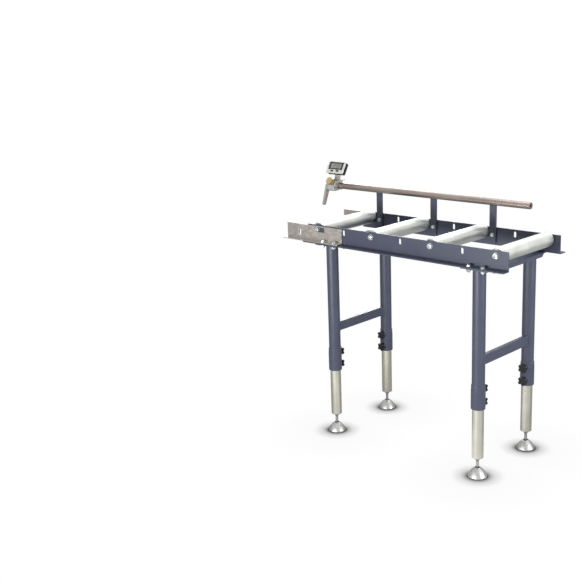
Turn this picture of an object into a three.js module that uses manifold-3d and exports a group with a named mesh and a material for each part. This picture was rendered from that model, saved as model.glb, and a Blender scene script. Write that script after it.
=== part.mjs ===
import * as THREE from 'three';
import { mergeVertices } from 'three/addons/utils/BufferGeometryUtils.js';
import Module from 'manifold-3d';

// Roller stand for bar stock with a measuring stop along its rear rail.
// Millimetres, +Z up. X runs along the rails, -Y is the front, the floor is z = 0.

// Gaps between pieces
const seatGap = 0.3;
const slideFit = 0.5;
const boltPlay = 1;
const joinDepth = 1;

// Side rails, folded to an L with the foot turned outwards
const railLength = 1000;
const railHeight = 75;
const railWall = 4;
const railFoot = 36;
const bendRadius = 2;

// Rollers on fixed axles
const rollerCount = 4;
const rollerEndInset = 55;
const axleDrop = 20;
const rollerDiameter = 60;
const rollerLength = 350;
const rollerEndGap = 5;
const rollerWall = 3;
const rollerChamfer = 1.5;
const axleDiameter = 15;
const axleShoulder = 20;
const axleStud = 10;
const axleStudLength = 20;
const bearingOuter = 35;
const bearingWidth = 11;
const capThickness = 15;

// Spare axle slots midway between the rollers
const slotWidth = 12;
const slotHeight = 24;

// Leg frames
const legInset = 130;
const legTuck = 4;
const legDiameter = 51;
const legWall = 2;
const legLength = 557;
const sleeveDiameter = 57;
const sleeveLength = 100;
const sleeveChamfer = 2;
const headWidth = 120;
const headWall = 4;
const headLip = 17;
const headEndGap = 4;
const headBoltSpan = 62;
const headBolt = 10;
const braceRise = 192;
const braceHeight = 40;
const braceDepth = 20;
const braceWall = 2;

// Telescopic inner legs
const legExtension = 204;
const innerWall = 2.5;
const innerInsert = 300;
const plugThickness = 12;
const plugCone = 18;
const plugConeTop = 38;
const plugConeTip = 18;
const innerChamfer = 2;

// Levelling spindles and domed feet
const standoff = 80;
const spindleDiameter = 12;
const spindleTop = 118;
const spindleChamfer = 1;
const ballDiameter = 20;
const ballHeight = 22;
const neckDiameter = 9;
const neckTop = 42;
const socketFit = 0.6;
const mouthDiameter = 18.4;
const footDiameter = 76;
const footRim = 4;
const footHeight = 38;
const footTopDiameter = 24;
const footBulge = 3;

// Star knobs that clamp the inner legs
const knobLow = 21;
const knobSpacing = 55;
const knobDiameter = 38;
const knobThickness = 8.5;
const knobLobes = 5;
const knobLobeDepth = 4;
const knobHub = 18;
const knobStandoff = 1;
const knobHubLength = 1;
const studDiameter = 10;
const bossDiameter = 20;
const bossLength = 2.5;

// Posts and round bar of the measuring stop
const postWidth = 30;
const postThickness = 8;
const postDrop = 68;
const postRollerGap = 3;
const postCorner = 5;
const postBolt = 8;
const postBoltDrop = 31;
const postCradle = 7;
const barDiameter = 28;
const barRise = 104;
const barRightInset = 130;
const barLeftOverhang = 190;
const barChamfer = 2;
const barBore = 11;
const barBoreDepth = 25;

// Stop carriage, its arm and its clamp knob
const carriageInset = 35;
const carriageLength = 40;
const carriageFront = 40;
const carriageBack = 22;
const carriageTop = 25;
const carriageBottom = 21;
const carriageCorner = 7;
const postPassage = 3;
const armPivotOffset = 30;
const armPinDiameter = 10;
const armPinProud = 4;
const armThickness = 10;
const armHub = 24;
const armTip = 16;
const armReach = 82;
const armLean = 20;
const clampKnobDiameter = 34;
const clampKnobThickness = 16;
const clampKnobLobes = 10;
const clampKnobLobeDepth = 1.6;
const clampKnobStandoff = 6;
const clampHub = 15;
const clampStud = 8;
const clampTilt = 30;
const clampFace = 36;

// Readout on the carriage
const readoutWidth = 98;
const readoutHeight = 56;
const readoutCorner = 5;
const readoutTilt = 30;
const panelThickness = 8;
const caseDepth = 18;
const readoutAside = 25;
const readoutForward = 30;
const readoutRise = 89;
const windowWidth = 84;
const windowHeight = 36;
const windowRise = 7;
const displayRecess = 1.5;
const displayThickness = 6;
const buttonCount = 2;
const buttonWidth = 16;
const buttonHeight = 6.5;
const buttonPitch = 32;
const buttonDrop = 17.5;
const buttonProud = 1.8;
const buttonTravel = 1.2;
const bracketWidth = 34;
const bracketThickness = 6;
const bracketFoot = 30;

// Coupling plates that join the stand to a machine
const plateOverhang = 120;
const plateEndMargin = 33;
const plateHeight = 66;
const plateWall = 4;
const plateFoot = 30;
const plateSlotWidth = 10;
const plateSlotHeight = 26;
const plateSlotInset = 76;
const plateSlotDrop = 40;
const plateWindowLength = 56;
const plateWindowHeight = 20;
const plateWindowLead = 13;

// Facets around the round pieces
const rollerSides = 22;
const tubeSides = 18;
const shaftSides = 12;
const holeSides = 8;
const nutSides = 6;
const arcSteps = 3;
const cornerSteps = 2;
const ballRings = 4;
const domeSteps = 4;
const lobeSteps = 4;

// Places worked out from the sizes above
const sleeveBottom = standoff + legExtension;
const headBottom = sleeveBottom + legLength;
const railBottom = headBottom + headWall;
const railTop = railBottom + railHeight;
const axleZ = railTop - axleDrop;
const rollerPitch = (railLength - 2 * rollerEndInset) / (rollerCount - 1);
const webInner = rollerLength / 2 + rollerEndGap;
const webOuter = webInner + railWall;
const footEdge = webOuter + railFoot;
const headBoltY = webOuter + railFoot / 2;
const legX = railLength / 2 - legInset;
const legY = webInner - legTuck;
const legRadius = legDiameter / 2;
const legBore = legRadius - legWall;
const sleeveRadius = sleeveDiameter / 2;
const innerRadius = legBore - slideFit;
const braceZ = sleeveBottom + braceRise;
const postY = webInner - seatGap - postThickness / 2;
const postOffset = rollerDiameter / 2 + postRollerGap + postWidth / 2;
const barZ = railTop + barRise;
const barLeft = -railLength / 2 - barLeftOverhang;
const barRight = railLength / 2 - barRightInset;
const carriageX = barLeft + carriageInset;
const plateLeft = -railLength / 2 - plateOverhang;
const plateLength = plateOverhang + legInset + headBoltSpan / 2 + plateEndMargin;
const overallMiddle = (barLeft + railLength / 2) / 2;

const wasm = await Module();
wasm.setup();

// Paint and metal finishes
const paint = { color: 0x4a4e60, roughness: 0.42, metalness: 0.25 };
const zincPlate = { color: 0xb9b8ae, roughness: 0.35, metalness: 0.9 };
const rollerZinc = { color: 0xd8dad8, roughness: 0.25, metalness: 0.9 };
const brightSteel = { color: 0xc8c8c6, roughness: 0.2, metalness: 1 };
const bareSheet = { color: 0xa39b94, roughness: 0.45, metalness: 0.9 };
const groundSteel = { color: 0xa59890, roughness: 0.3, metalness: 1 };
const blackPlastic = { color: 0x16161a, roughness: 0.5, metalness: 0 };
const whitePlastic = { color: 0xecebe8, roughness: 0.45, metalness: 0 };
const displayGlass = { color: 0x8d938e, roughness: 0.15, metalness: 0 };
const alloy = { color: 0xc4c7ca, roughness: 0.4, metalness: 0.9 };
const brassPlate = { color: 0xb7a57c, roughness: 0.35, metalness: 0.9 };

const stand = new THREE.Group();
stand.position.x = -overallMiddle;

function addPart(parent, name, geometry, finish, x = 0, y = 0, z = 0) {
  const mesh = new THREE.Mesh(geometry, new THREE.MeshStandardMaterial(finish));
  mesh.name = name;
  mesh.position.set(x, y, z);
  parent.add(mesh);
  return mesh;
}

// A closed geometry as a solid for cutting and joining
function toSolid(geometry) {
  const bare = geometry.clone();
  bare.deleteAttribute('normal');
  bare.deleteAttribute('uv');
  const merged = mergeVertices(bare, 1e-4);
  const corners = [];
  for (let i = 0; i < merged.index.count; i += 3) {
    const [a, b, c] = [0, 1, 2].map((k) => merged.index.getX(i + k));
    if (a !== b && b !== c && c !== a) corners.push(a, b, c);
  }
  return new wasm.Manifold(new wasm.Mesh({
    numProp: 3,
    vertProperties: new Float32Array(merged.attributes.position.array),
    triVerts: new Uint32Array(corners),
  }));
}

function toGeometry(solid) {
  const mesh = solid.getMesh();
  const geometry = new THREE.BufferGeometry();
  geometry.setAttribute('position', new THREE.BufferAttribute(new Float32Array(mesh.vertProperties), 3));
  geometry.setIndex(new THREE.BufferAttribute(new Uint32Array(mesh.triVerts), 1));
  geometry.computeVertexNormals();
  return geometry;
}

function shaped(base, { add = [], cut = [] }) {
  let solid = toSolid(base);
  for (const piece of add) solid = solid.add(toSolid(piece));
  for (const piece of cut) solid = solid.subtract(toSolid(piece));
  return toGeometry(solid);
}

// A profile of [radius, height] points turned about Y, listed upwards on its outer side
function turned(profile, sides) {
  const points = profile.map(([radius, height]) => new THREE.Vector2(radius, height));
  return toGeometry(toSolid(new THREE.LatheGeometry(points, sides)));
}

function upright(geometry) {
  return geometry.rotateX(Math.PI / 2);
}

function sideways(geometry) {
  return geometry.rotateZ(-Math.PI / 2);
}

function rod(diameter, length, sides) {
  return new THREE.CylinderGeometry(diameter / 2, diameter / 2, length, sides);
}

// A cutter whose flats, not its corners, lie at the diameter
function hole(diameter, length) {
  return rod(diameter / Math.cos(Math.PI / holeSides), length, holeSides);
}

// Extrusions: a [Y, Z] outline along X, and an [X, Z] outline along Y, centred on the other axis
function alongX(shape, length, steps = arcSteps) {
  const settings = { depth: length, bevelEnabled: false, curveSegments: steps };
  const geometry = new THREE.ExtrudeGeometry(shape, settings);
  const axes = new THREE.Matrix4().makeBasis(
    new THREE.Vector3(0, 1, 0), new THREE.Vector3(0, 0, 1), new THREE.Vector3(1, 0, 0));
  return geometry.applyMatrix4(axes).translate(-length / 2, 0, 0);
}

function alongY(shape, length, steps = arcSteps) {
  const settings = { depth: length, bevelEnabled: false, curveSegments: steps };
  const geometry = new THREE.ExtrudeGeometry(shape, settings);
  return geometry.rotateX(Math.PI / 2).translate(0, length / 2, 0);
}

function roundedRect(width, height, radius) {
  const shape = new THREE.Shape();
  const x = width / 2;
  const y = height / 2;
  shape.absarc(x - radius, y - radius, radius, 0, Math.PI / 2);
  shape.absarc(-x + radius, y - radius, radius, Math.PI / 2, Math.PI);
  shape.absarc(-x + radius, -y + radius, radius, Math.PI, 1.5 * Math.PI);
  shape.absarc(x - radius, -y + radius, radius, 1.5 * Math.PI, 2 * Math.PI);
  return shape;
}

// Sheet folded to an L in the Y-Z plane: upright from innerY, foot turned outwards at bottomZ
function foldedSheet(innerY, bottomZ, height, foot, wall, side) {
  const outerY = innerY + wall;
  const bendY = outerY + bendRadius;
  const bendZ = bottomZ + wall + bendRadius;
  const shape = new THREE.Shape();
  shape.moveTo(innerY, bottomZ + height);
  shape.lineTo(innerY, bendZ);
  shape.absarc(bendY, bendZ, bendRadius + wall, Math.PI, 1.5 * Math.PI);
  shape.lineTo(outerY + foot, bottomZ);
  shape.lineTo(outerY + foot, bottomZ + wall);
  shape.absarc(bendY, bendZ, bendRadius, 1.5 * Math.PI, Math.PI, true);
  shape.lineTo(outerY, bottomZ + height);
  return new THREE.Shape(shape.getPoints(arcSteps).map((p) => new THREE.Vector2(side * p.x, p.y)));
}

function starOutline(diameter, lobes, depth) {
  const points = [];
  const count = lobes * lobeSteps;
  for (let i = 0; i < count; i += 1) {
    const angle = (2 * Math.PI * i) / count;
    const radius = diameter / 2 - (depth * (1 - Math.cos(lobes * angle))) / 2;
    points.push(new THREE.Vector2(radius * Math.cos(angle), radius * Math.sin(angle)));
  }
  return new THREE.Shape(points);
}

const rollerXs = Array.from({ length: rollerCount }, (_, i) =>
  -railLength / 2 + rollerEndInset + i * rollerPitch);
const slotXs = rollerXs.slice(1).map((x) => x - rollerPitch / 2);
const postXs = rollerXs.slice(0, -1).map((x) => x + postOffset);
const legs = [
  { tag: 'front_left', x: -legX, side: -1 },
  { tag: 'front_right', x: legX, side: -1 },
  { tag: 'rear_left', x: -legX, side: 1 },
  { tag: 'rear_right', x: legX, side: 1 },
];
const headBoltXs = [-legX, legX].flatMap((x) => [x - headBoltSpan / 2, x + headBoltSpan / 2]);

// Side rails with axle holes, spare slots, foot holes and, at the rear, post holes
for (const [name, side] of [['front_rail', -1], ['rear_rail', 1]]) {
  const throughWall = 3 * railWall;
  const webMiddle = side * (webInner + railWall / 2);
  const cut = [];
  for (const x of rollerXs) cut.push(hole(axleStud + boltPlay, throughWall).translate(x, webMiddle, axleZ));
  for (const x of slotXs) {
    cut.push(alongY(roundedRect(slotWidth, slotHeight, slotWidth / 2), throughWall)
      .translate(x, webMiddle, axleZ));
  }
  for (const x of headBoltXs) {
    cut.push(upright(hole(headBolt + boltPlay, throughWall))
      .translate(x, side * headBoltY, railBottom + railWall / 2));
  }
  if (side > 0) {
    for (const x of postXs) {
      cut.push(hole(postBolt + boltPlay, throughWall).translate(x, webMiddle, railTop - postBoltDrop));
    }
  }
  const sheet = alongX(foldedSheet(webInner, railBottom, railHeight, railFoot, railWall, side), railLength);
  addPart(stand, name, shaped(sheet, { cut }), paint);
}

// Rollers: thin tubes with pressed end caps, each on two bearings and an axle with stud ends
const axleRadius = axleDiameter / 2;
const axleHalf = webInner - seatGap;
const rollerHalf = rollerLength / 2;
const bearingSeat = bearingOuter / 2 + seatGap;
const capFloor = rollerHalf - capThickness;
const rollerRadius = rollerDiameter / 2;
const tubeBore = rollerRadius - rollerWall;
const rollerProfile = [
  [tubeBore, -capFloor], [bearingSeat, -capFloor], [bearingSeat, -rollerHalf],
  [rollerRadius - rollerChamfer, -rollerHalf],
  [rollerRadius, -rollerHalf + rollerChamfer], [rollerRadius, rollerHalf - rollerChamfer],
  [rollerRadius - rollerChamfer, rollerHalf], [bearingSeat, rollerHalf], [bearingSeat, capFloor],
  [tubeBore, capFloor], [tubeBore, -capFloor],
];
const shoulderFoot = rollerHalf + seatGap;
const studRadius = axleStud / 2;
const studEnd = axleHalf + axleStudLength;
const axleProfile = [
  [0, -studEnd], [studRadius, -studEnd], [studRadius, -axleHalf],
  [axleShoulder / 2, -axleHalf], [axleShoulder / 2, -shoulderFoot], [axleRadius, -shoulderFoot],
  [axleRadius, shoulderFoot], [axleShoulder / 2, shoulderFoot], [axleShoulder / 2, axleHalf],
  [studRadius, axleHalf], [studRadius, studEnd], [0, studEnd],
];
const bearingBore = (axleRadius + seatGap) / Math.cos(Math.PI / shaftSides);
const bearingHalf = bearingWidth / 2;
const bearingProfile = [
  [bearingBore, -bearingHalf], [bearingOuter / 2, -bearingHalf],
  [bearingOuter / 2, bearingHalf], [bearingBore, bearingHalf], [bearingBore, -bearingHalf],
];
const bearingY = rollerHalf - seatGap - bearingHalf;
rollerXs.forEach((x, i) => {
  const tag = i + 1;
  addPart(stand, `roller_${tag}`, turned(rollerProfile, rollerSides), rollerZinc, x, 0, axleZ);
  addPart(stand, `axle_${tag}`, turned(axleProfile, shaftSides), brightSteel, x, 0, axleZ);
  for (const [end, y] of [['front', -bearingY], ['rear', bearingY]]) {
    addPart(stand, `bearing_${tag}_${end}`, turned(bearingProfile, shaftSides), brightSteel, x, y, axleZ);
  }
});

// Head channel across the top of each leg frame, its lips cut away under the rail feet
function headChannel() {
  const half = headWidth / 2;
  const lipZ = railBottom - headLip;
  const outer = bendRadius + headWall;
  const shape = new THREE.Shape();
  shape.moveTo(half, lipZ);
  shape.lineTo(half, railBottom - outer);
  shape.absarc(half - outer, railBottom - outer, outer, 0, Math.PI / 2);
  shape.absarc(-half + outer, railBottom - outer, outer, Math.PI / 2, Math.PI);
  shape.lineTo(-half, lipZ);
  shape.lineTo(-half + headWall, lipZ);
  shape.absarc(-half + outer, railBottom - outer, bendRadius, Math.PI, Math.PI / 2, true);
  shape.absarc(half - outer, railBottom - outer, bendRadius, Math.PI / 2, 0, true);
  shape.lineTo(half - headWall, lipZ);
  const headHalf = footEdge - headEndGap;
  const channel = alongY(shape, 2 * headHalf).translate(0, 0, -seatGap);
  const cut = [];
  for (const side of [-1, 1]) {
    const notch = new THREE.Shape([
      [webInner - headLip, lipZ - headWall], [footEdge, lipZ - headWall],
      [footEdge, headBottom - seatGap], [webInner, headBottom - seatGap],
    ].map(([y, z]) => new THREE.Vector2(side * y, z)));
    cut.push(alongX(notch, 2 * headWidth));
    for (const x of [-headBoltSpan / 2, headBoltSpan / 2]) {
      cut.push(upright(hole(headBolt + boltPlay, 3 * headWall)).translate(x, side * headBoltY, headBottom));
    }
  }
  return shaped(channel, { cut });
}
addPart(stand, 'left_head_channel', headChannel(), paint, -legX);
addPart(stand, 'right_head_channel', headChannel(), paint, legX);

// Outer leg tubes, each with a welded clamp sleeve and two weld nuts facing inwards
const knobHeights = [knobLow, knobLow + knobSpacing];
function legTube(side) {
  const top = headBottom - 2 * seatGap - sleeveBottom;
  const tube = upright(turned([
    [legBore, 0], [sleeveRadius - sleeveChamfer, 0], [sleeveRadius, sleeveChamfer],
    [sleeveRadius, sleeveLength], [legRadius, sleeveLength], [legRadius, top], [legBore, top], [legBore, 0],
  ], tubeSides));
  const bossReach = sleeveRadius + bossLength - legRadius;
  const add = knobHeights.map((z) => rod(bossDiameter, bossReach, nutSides)
    .translate(0, -side * (legRadius + bossReach / 2), z));
  const cut = knobHeights.map((z) => hole(studDiameter + 2 * seatGap, legDiameter)
    .translate(0, -side * legRadius, z));
  return shaped(tube, { add, cut });
}

// Inner leg with a welded end plug that narrows to the spindle
const innerBore = innerRadius - innerWall;
const threadClear = spindleDiameter / 2 + seatGap;
const innerLegProfile = [
  [threadClear, -plugCone], [plugConeTip / 2, -plugCone], [plugConeTop / 2, 0],
  [innerRadius - innerChamfer, 0], [innerRadius, innerChamfer], [innerRadius, legExtension + innerInsert],
  [innerBore, legExtension + innerInsert], [innerBore, plugThickness],
  [threadClear, plugThickness], [threadClear, -plugCone],
];

// Levelling spindle: a rod on a ball that the foot holds
const ballRadius = ballDiameter / 2;
const neckRadius = neckDiameter / 2;
const spindleRadius = spindleDiameter / 2;
const ballEnd = Math.PI - Math.asin(neckRadius / ballRadius);
function ballPoint(radius, angle) {
  return [radius * Math.sin(angle), ballHeight - radius * Math.cos(angle)];
}
const ballArc = Array.from({ length: ballRings + 1 }, (_, i) =>
  ballPoint(ballRadius, (ballEnd * i) / ballRings));
ballArc[0][0] = 0;
const spindleProfile = [
  ...ballArc, [neckRadius, neckTop - (spindleRadius - neckRadius)], [spindleRadius, neckTop],
  [spindleRadius, spindleTop - spindleChamfer], [spindleRadius - spindleChamfer, spindleTop], [0, spindleTop],
];

// Domed foot: a bulged cone over a low rim, with a socket for the ball
const socketRadius = ballRadius + socketFit;
const socketEnd = Math.PI - Math.asin(mouthDiameter / 2 / socketRadius);
const socketArc = Array.from({ length: ballRings + 1 }, (_, i) =>
  ballPoint(socketRadius, (socketEnd * (ballRings - i)) / ballRings));
socketArc[ballRings][0] = 0;
const footRadius = footDiameter / 2;
const footTopRadius = footTopDiameter / 2;
const capFoot = new THREE.Vector2(footRadius, footRim);
const capTop = new THREE.Vector2(footTopRadius, footHeight);
const capSlope = capTop.clone().sub(capFoot);
const capBend = new THREE.Vector2(capSlope.y, -capSlope.x).setLength(2 * footBulge)
  .add(capFoot.clone().lerp(capTop, 0.5));
const domeArc = new THREE.QuadraticBezierCurve(capFoot, capBend, capTop)
  .getPoints(domeSteps).map(({ x, y }) => [x, y]);
const footProfile = [[0, 0], [footRadius, 0], ...domeArc, ...socketArc];

// Star knob on a stud that runs through the boss to the inner leg
function starKnob(side) {
  const tip = innerRadius + seatGap;
  const hubStart = sleeveRadius + bossLength + knobStandoff;
  const headStart = hubStart + knobHubLength;
  const stud = turned([
    [0, tip], [studDiameter / 2, tip], [studDiameter / 2, hubStart], [knobHub / 2, hubStart],
    [knobHub / 2, headStart + joinDepth], [0, headStart + joinDepth],
  ], shaftSides);
  const head = alongY(starOutline(knobDiameter, knobLobes, knobLobeDepth), knobThickness)
    .translate(0, headStart + knobThickness / 2, 0);
  const knob = shaped(head, { add: [stud] });
  return side < 0 ? knob : knob.rotateZ(Math.PI);
}

for (const { tag, x, side } of legs) {
  const y = side * legY;
  addPart(stand, `leg_tube_${tag}`, legTube(side), paint, x, y, sleeveBottom);
  addPart(stand, `inner_leg_${tag}`, upright(turned(innerLegProfile, tubeSides)), zincPlate, x, y, standoff);
  addPart(stand, `spindle_${tag}`, upright(turned(spindleProfile, shaftSides)), brightSteel, x, y);
  addPart(stand, `foot_${tag}`, upright(turned(footProfile, tubeSides)), brightSteel, x, y);
  knobHeights.forEach((z, i) => {
    const level = ['lower', 'upper'][i];
    addPart(stand, `knob_${tag}_${level}`, starKnob(side), blackPlastic, x, y, sleeveBottom + z);
  });
}

// Cross brace of each leg frame: a rectangular tube coped to the two legs
function brace() {
  const outline = roundedRect(braceDepth, braceHeight, bendRadius);
  outline.holes.push(roundedRect(braceDepth - 2 * braceWall, braceHeight - 2 * braceWall, bendRadius / 2));
  const cut = [-1, 1].map((side) => upright(rod(legDiameter + 2 * seatGap, 2 * braceHeight, tubeSides))
    .translate(0, side * legY, 0));
  return shaped(alongY(outline, 2 * legY, cornerSteps), { cut });
}
addPart(stand, 'left_brace', brace(), paint, -legX, 0, braceZ);
addPart(stand, 'right_brace', brace(), paint, legX, 0, braceZ);

// Flat posts bolted inside the rear rail, hollowed at the top to seat the bar
function post() {
  const bottom = -postDrop;
  const top = barRise - postCradle;
  const half = postWidth / 2;
  const shape = new THREE.Shape();
  shape.moveTo(half, top);
  shape.lineTo(-half, top);
  shape.absarc(-half + postCorner, bottom + postCorner, postCorner, Math.PI, 1.5 * Math.PI);
  shape.absarc(half - postCorner, bottom + postCorner, postCorner, 1.5 * Math.PI, 2 * Math.PI);
  const cut = [
    sideways(rod(barDiameter + 2 * seatGap, 2 * postWidth, tubeSides)).translate(0, 0, barRise),
    hole(postBolt + boltPlay, 2 * postThickness).translate(0, 0, -postBoltDrop),
  ];
  return shaped(alongY(shape, postThickness), { cut });
}
postXs.forEach((x, i) => addPart(stand, `stop_post_${i + 1}`, post(), paint, x, postY, railTop));

// Round stop bar with a threaded bore in each end
const barHalf = (barRight - barLeft) / 2;
const barRadius = barDiameter / 2;
const boreFloor = barHalf - barBoreDepth;
const barProfile = [
  [0, -boreFloor], [barBore / 2, -boreFloor], [barBore / 2, -barHalf], [barRadius - barChamfer, -barHalf],
  [barRadius, -barHalf + barChamfer], [barRadius, barHalf - barChamfer], [barRadius - barChamfer, barHalf],
  [barBore / 2, barHalf], [barBore / 2, boreFloor], [0, boreFloor],
];
addPart(stand, 'stop_bar', sideways(turned(barProfile, tubeSides)), groundSteel,
  (barLeft + barRight) / 2, postY, barZ);

// Stop carriage: a C-shaped slide, open below so that it passes the posts, with a slanted clamp face
const clampAngle = -THREE.MathUtils.degToRad(clampTilt);
const carriage = new THREE.Group();
carriage.position.set(carriageX, postY, barZ);
stand.add(carriage);
function carriageSlide() {
  const width = carriageFront + carriageBack;
  const height = carriageTop + carriageBottom;
  const mouth = postThickness + 2 * postPassage;
  const block = alongX(roundedRect(width, height, carriageCorner), carriageLength)
    .translate(0, (carriageBack - carriageFront) / 2, (carriageTop - carriageBottom) / 2);
  const pinReach = seatGap + armThickness + armPinProud;
  const pin = sideways(rod(armPinDiameter, 2 * pinReach, shaftSides))
    .translate(-carriageLength / 2, -armPivotOffset, 0);
  const cut = [
    sideways(rod(barDiameter + 2 * slideFit, 2 * carriageLength, tubeSides)),
    new THREE.BoxGeometry(2 * carriageLength, mouth, 2 * carriageBottom).translate(0, 0, -carriageBottom),
    hole(clampStud + 2 * seatGap, carriageFront).translate(0, -carriageFront / 2 - barRadius / 2, 0)
      .rotateX(clampAngle),
    new THREE.BoxGeometry(2 * carriageLength, carriageFront, 2 * carriageFront)
      .translate(0, -clampFace - carriageFront / 2, 0).rotateX(clampAngle),
  ];
  return shaped(block, { add: [pin], cut });
}
addPart(carriage, 'stop_carriage', carriageSlide(), alloy);

// Swinging stop arm: two rounds joined by straight flanks, hung on the carriage pin
function stopArm() {
  const lean = THREE.MathUtils.degToRad(armLean);
  const hub = armHub / 2;
  const tip = armTip / 2;
  const spread = Math.acos((hub - tip) / armReach);
  const down = -Math.PI / 2 - lean;
  const tipY = armReach * Math.cos(down);
  const tipZ = armReach * Math.sin(down);
  const shape = new THREE.Shape();
  shape.absarc(0, 0, hub, down + spread, down - spread + 2 * Math.PI);
  shape.absarc(tipY, tipZ, tip, down - spread, down + spread);
  const bore = new THREE.Path();
  bore.absarc(0, 0, armPinDiameter / 2 + seatGap, 0, 2 * Math.PI, true);
  shape.holes.push(bore);
  return alongX(shape, armThickness, nutSides);
}
addPart(carriage, 'stop_arm', stopArm(), bareSheet,
  -carriageLength / 2 - seatGap - armThickness / 2, -armPivotOffset, 0);

// Scalloped clamp knob square to the carriage's slanted face, its stud aimed at the bar's axis
function clampKnob() {
  const tip = barRadius + seatGap;
  const headStart = clampFace + clampKnobStandoff;
  const stud = turned([
    [0, tip], [clampStud / 2, tip], [clampStud / 2, clampFace + seatGap],
    [clampHub / 2, clampFace + seatGap], [clampHub / 2, headStart + joinDepth],
    [0, headStart + joinDepth],
  ], shaftSides);
  const head = alongY(starOutline(clampKnobDiameter, clampKnobLobes, clampKnobLobeDepth), clampKnobThickness)
    .translate(0, headStart + clampKnobThickness / 2, 0);
  return shaped(head, { add: [stud] }).rotateZ(Math.PI).rotateX(clampAngle);
}
addPart(carriage, 'stop_clamp_knob', clampKnob(), brassPlate);

// Readout: a dark case on a bracket, a pale front panel, a display and its buttons
const readout = new THREE.Group();
readout.position.set(readoutAside, -readoutForward, readoutRise);
readout.rotation.x = -THREE.MathUtils.degToRad(readoutTilt);
carriage.add(readout);
const buttonXs = Array.from({ length: buttonCount }, (_, i) => (i - (buttonCount - 1) / 2) * buttonPitch);
const readoutOutline = roundedRect(readoutWidth, readoutHeight, readoutCorner);

function readoutCase() {
  const shell = alongY(readoutOutline, caseDepth)
    .translate(0, panelThickness + seatGap + caseDepth / 2, 0);
  shell.rotateX(readout.rotation.x).translate(readoutAside, -readoutForward, readoutRise);
  const foot = carriageTop + seatGap;
  const tilt = -readout.rotation.x;
  const mastY = -readoutForward + Math.cos(tilt) * (panelThickness + caseDepth / 2);
  const mastTop = readoutRise - Math.sin(tilt) * (panelThickness + caseDepth / 2);
  const mast = new THREE.BoxGeometry(bracketWidth, bracketThickness, mastTop - foot)
    .translate(readoutAside, mastY, (mastTop + foot) / 2);
  const sole = new THREE.BoxGeometry(bracketWidth + readoutAside, bracketFoot, bracketThickness)
    .translate(readoutAside / 2, mastY + (bracketFoot - bracketThickness) / 2, foot + bracketThickness / 2);
  return shaped(shell, { add: [mast, sole] });
}
addPart(carriage, 'readout_case', readoutCase(), blackPlastic);

function readoutPanel() {
  const cut = [alongY(roundedRect(windowWidth, windowHeight, bendRadius), 3 * panelThickness, cornerSteps)
    .translate(0, 0, windowRise)];
  for (const x of buttonXs) {
    cut.push(alongY(roundedRect(buttonWidth, buttonHeight, bendRadius), 3 * panelThickness, cornerSteps)
      .translate(x, 0, -buttonDrop));
  }
  return shaped(alongY(readoutOutline, panelThickness), { cut });
}
addPart(readout, 'readout_panel', readoutPanel(), whitePlastic, 0, panelThickness / 2, 0);

const displayOutline = roundedRect(windowWidth - 2 * seatGap, windowHeight - 2 * seatGap, bendRadius);
addPart(readout, 'readout_display', alongY(displayOutline, displayThickness, cornerSteps), displayGlass,
  0, displayRecess + displayThickness / 2, windowRise);

const buttonDepth = panelThickness + buttonProud - buttonTravel;
const buttonOutline = roundedRect(buttonWidth - 2 * seatGap, buttonHeight - 2 * seatGap, bendRadius);
buttonXs.forEach((x, i) => {
  addPart(readout, `readout_button_${i + 1}`, alongY(buttonOutline, buttonDepth, cornerSteps), blackPlastic,
    x, buttonDepth / 2 - buttonProud, -buttonDrop);
});

// Coupling plates standing on the rail feet, with a slot at the free end and an axle window
for (const [name, side] of [['front_coupling_plate', -1], ['rear_coupling_plate', 1]]) {
  const bottom = railBottom + railWall + seatGap;
  const inner = webOuter + seatGap;
  const throughWall = 4 * plateWall;
  const wallMiddle = side * (inner + plateWall / 2);
  const plateMiddle = plateLeft + plateLength / 2;
  const windowX = rollerXs[0] - plateWindowLead + plateWindowLength / 2;
  const cut = [
    alongY(roundedRect(plateSlotWidth, plateSlotHeight, plateSlotWidth / 2), throughWall)
      .translate(plateLeft + plateSlotInset, wallMiddle, railTop - plateSlotDrop),
    alongY(roundedRect(plateWindowLength, plateWindowHeight, bendRadius), throughWall, cornerSteps)
      .translate(windowX, wallMiddle, axleZ),
  ];
  for (const x of headBoltXs.filter((boltX) => boltX < 0)) {
    cut.push(upright(hole(headBolt + boltPlay, throughWall)).translate(x, side * headBoltY, bottom));
  }
  const sheet = alongX(foldedSheet(inner, bottom, plateHeight, plateFoot, plateWall, side), plateLength)
    .translate(plateMiddle, 0, 0);
  addPart(stand, name, shaped(sheet, { cut }), bareSheet);
}

export default stand;
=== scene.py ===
import bmesh
import bpy
import math
from mathutils import Matrix, Vector


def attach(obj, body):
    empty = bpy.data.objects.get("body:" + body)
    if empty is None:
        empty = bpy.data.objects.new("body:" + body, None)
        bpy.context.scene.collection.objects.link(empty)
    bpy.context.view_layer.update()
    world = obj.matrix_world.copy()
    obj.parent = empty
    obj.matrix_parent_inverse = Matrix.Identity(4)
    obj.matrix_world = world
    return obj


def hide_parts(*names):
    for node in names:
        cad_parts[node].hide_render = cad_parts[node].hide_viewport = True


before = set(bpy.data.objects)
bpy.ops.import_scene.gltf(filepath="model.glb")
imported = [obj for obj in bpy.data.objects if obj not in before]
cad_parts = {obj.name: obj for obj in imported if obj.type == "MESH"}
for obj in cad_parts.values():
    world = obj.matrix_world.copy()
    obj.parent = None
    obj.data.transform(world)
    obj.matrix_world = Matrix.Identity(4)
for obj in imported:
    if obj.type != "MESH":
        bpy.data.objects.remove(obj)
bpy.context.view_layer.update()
mm = 0.001


# main places, in millimetres

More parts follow.
